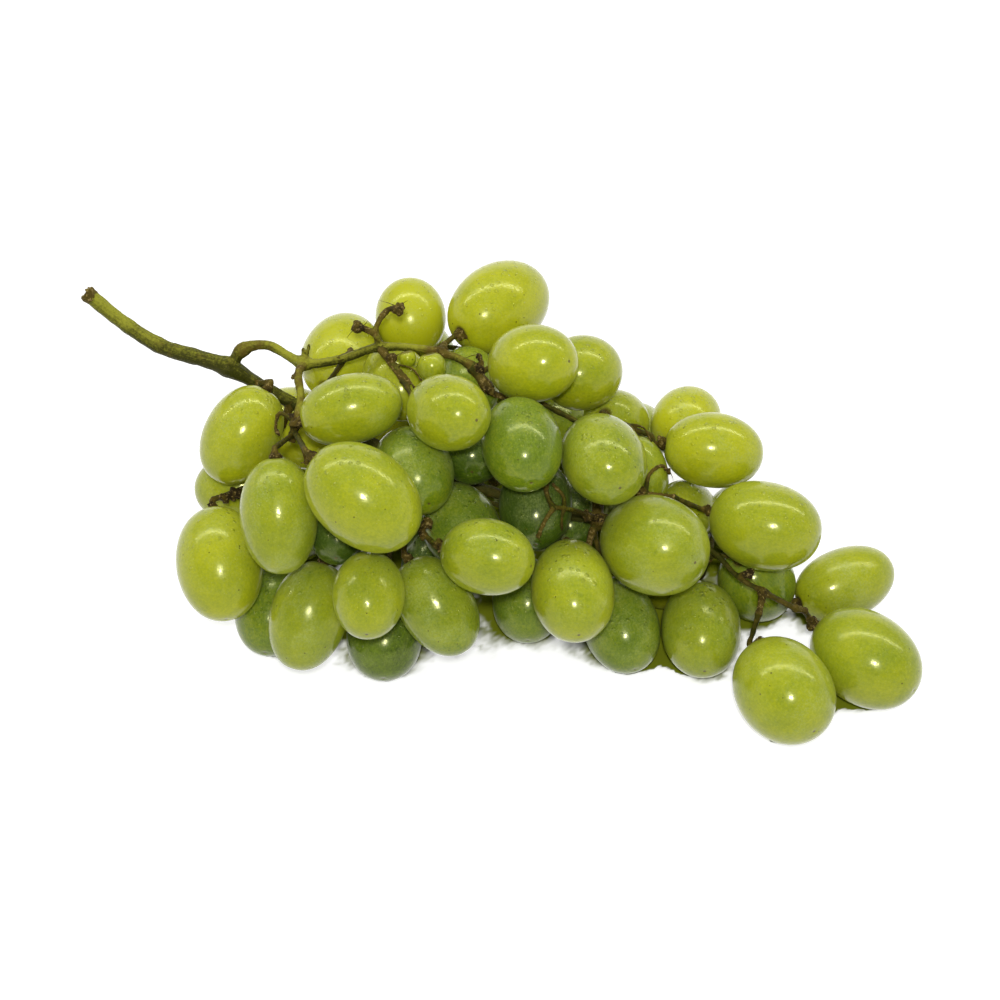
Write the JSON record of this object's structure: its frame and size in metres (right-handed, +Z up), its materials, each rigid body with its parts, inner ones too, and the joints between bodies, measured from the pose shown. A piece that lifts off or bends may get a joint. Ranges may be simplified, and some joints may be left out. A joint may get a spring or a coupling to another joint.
{
  "type": "bunch of grapes",
  "caption": "Bunch of pale green table grapes lying on its side: oval berries on a branching woody stem with a bare cut stalk.",
  "frame": {"origin": "middle of the bunch's footprint, on the surface that it lies on", "axes": "+X along the bunch from the cut stalk to the tip, +Y to its far side, +Z up from the surface"},
  "size_m": [0.2076, 0.128, 0.0771],
  "materials": {
    "stem": "matt living stalk, olive green with brown patches, ridged lengthwise, warty dark brown knobs",
    "berry": "thin glossy yellow-green skin over clear flesh, faint pale veins, a dusting of bloom and small brown specks"
  },
  "bodies": {
    "root": {"stem": "stem", "berry_back_left_1": "berry", "berry_back_left_2": "berry", "berry_back_left_3": "berry", "berry_back_mid_1": "berry", "berry_back_mid_2": "berry", "berry_back_mid_3": "berry", "berry_back_mid_4": "berry", "berry_back_mid_5": "berry", "berry_back_right_1": "berry", "berry_back_right_2": "berry", "berry_centre_1": "berry", "berry_centre_2": "berry", "berry_centre_3": "berry", "berry_centre_4": "berry", "berry_crest_1": "berry", "berry_crest_2": "berry", "berry_crest_3": "berry", "berry_elbow_1": "berry", "berry_front_left_1": "berry", "berry_front_left_2": "berry", "berry_front_left_3": "berry", "berry_front_left_4": "berry", "berry_front_mid_1": "berry", "berry_front_mid_2": "berry", "berry_front_mid_3": "berry", "berry_front_mid_4": "berry", "berry_front_mid_5": "berry", "berry_front_right_1": "berry", "berry_front_right_2": "berry", "berry_front_right_3": "berry", "berry_heel_1": "berry", "berry_heel_low_1": "berry", "berry_heel_low_2": "berry", "berry_inner_1": "berry", "berry_inner_2": "berry", "berry_long_stalk_1": "berry", "berry_long_stalk_2": "berry", "berry_lower_right_1": "berry", "berry_lower_right_2": "berry", "berry_lower_right_3": "berry", "berry_shoulder_1": "berry", "berry_shoulder_2": "berry", "berry_shoulder_3": "berry", "berry_shoulder_4": "berry", "berry_spur_1": "berry", "berry_spur_2": "berry", "berry_spur_3": "berry", "berry_tip_1": "berry", "berry_tip_2": "berry", "berry_tip_low_1": "berry", "berry_under_right_1": "berry", "berry_under_right_2": "berry", "berry_under_right_3": "berry", "berry_under_right_4": "berry", "berry_upper_right_1": "berry", "berry_upper_right_2": "berry", "berry_upper_right_3": "berry", "berry_upper_right_4": "berry"}
  },
  "joints": []
}
